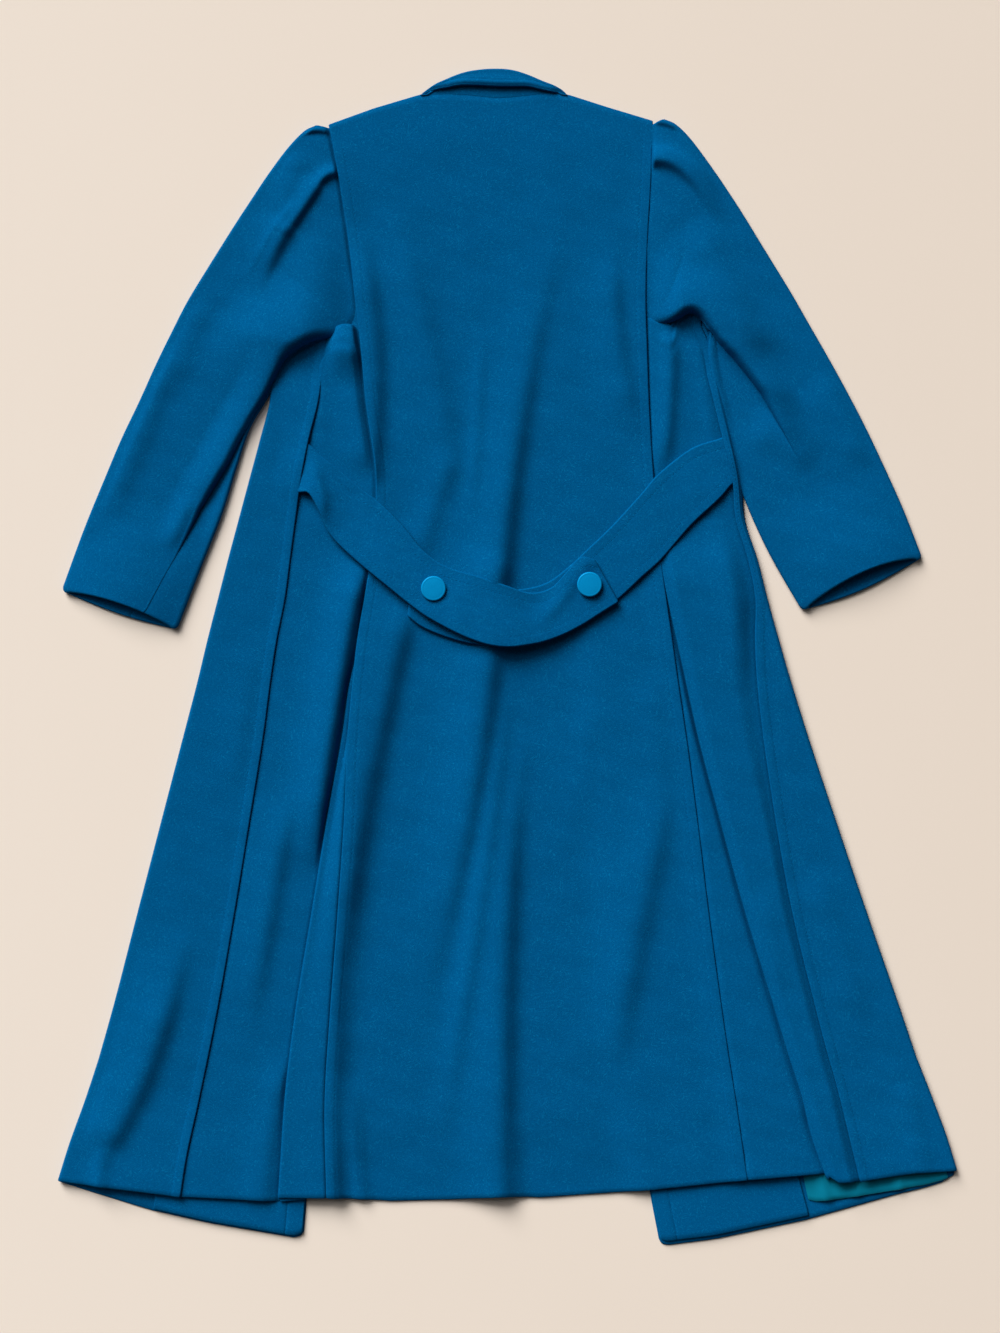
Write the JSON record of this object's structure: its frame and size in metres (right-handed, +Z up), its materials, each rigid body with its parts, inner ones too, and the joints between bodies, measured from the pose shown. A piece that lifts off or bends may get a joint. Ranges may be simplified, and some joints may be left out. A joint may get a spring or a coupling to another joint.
{
  "type": "long coat",
  "caption": "Long flared wool coat laid flat on its front, back upwards, with pleated side backs, gathered sleeve heads, a turned collar and a buttoned back belt.",
  "frame": {"origin": "on the surface that the coat lies on, under the middle of its outline", "axes": "+Z up through the layers, +Y along the back from hem to collar, +X towards the wearer's right sleeve"},
  "size_m": [1.0101, 1.3199, 0.0171],
  "materials": {
    "wool_melton": "milled teal-blue wool with a short, lightly flecked nap",
    "lining_satin": "smooth teal satin",
    "button_blue": "smooth satin blue"
  },
  "bodies": {
    "root": {"back_panel": "wool_melton", "left_side_back": "wool_melton", "right_side_back": "wool_melton", "left_front": "wool_melton", "right_front": "wool_melton", "left_facing": "wool_melton", "right_facing": "wool_melton", "right_lining": "lining_satin", "left_top_sleeve": "wool_melton", "right_top_sleeve": "wool_melton", "left_under_sleeve": "wool_melton", "right_under_sleeve": "wool_melton", "collar_stand": "wool_melton", "collar_fall": "wool_melton", "left_belt": "wool_melton", "right_belt": "wool_melton", "left_button": "button_blue", "right_button": "button_blue"}
  },
  "joints": []
}
